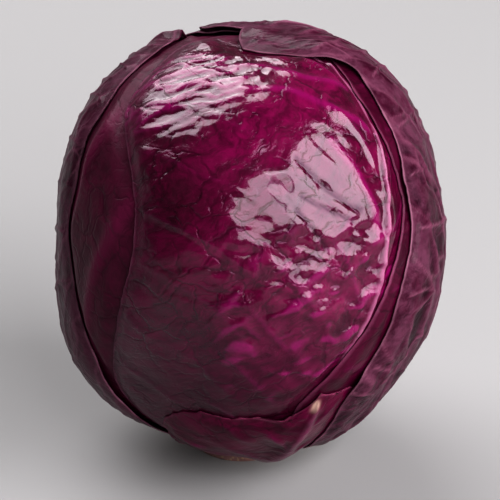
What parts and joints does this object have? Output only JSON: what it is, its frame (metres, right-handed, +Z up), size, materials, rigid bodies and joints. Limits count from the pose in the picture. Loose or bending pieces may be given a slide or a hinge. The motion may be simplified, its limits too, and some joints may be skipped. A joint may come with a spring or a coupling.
{
  "type": "red cabbage head",
  "caption": "Whole red cabbage head: overlapping ribbed wrapper leaves folded over a tight inner head, standing on its trimmed stem.",
  "frame": {"origin": "middle of the stem's flat cut face, which the head stands on", "axes": "+Z up the stem's axis to the crown; -Y towards the viewer of the picture, so the glossy front leaf faces -Y and +X; +X to the picture's right"},
  "size_m": [0.1452, 0.1455, 0.1617],
  "materials": {
    "inner_leaf": null,
    "front_leaf": null,
    "outer_leaf": null,
    "stem": null
  },
  "bodies": {
    "root": {"inner_head": "inner_leaf", "leaf_front": "front_leaf", "leaf_right_inner": "front_leaf", "leaf_left": "outer_leaf", "leaf_back": "outer_leaf", "leaf_stub": "front_leaf", "leaf_right": "outer_leaf", "stem": "stem"}
  },
  "joints": []
}
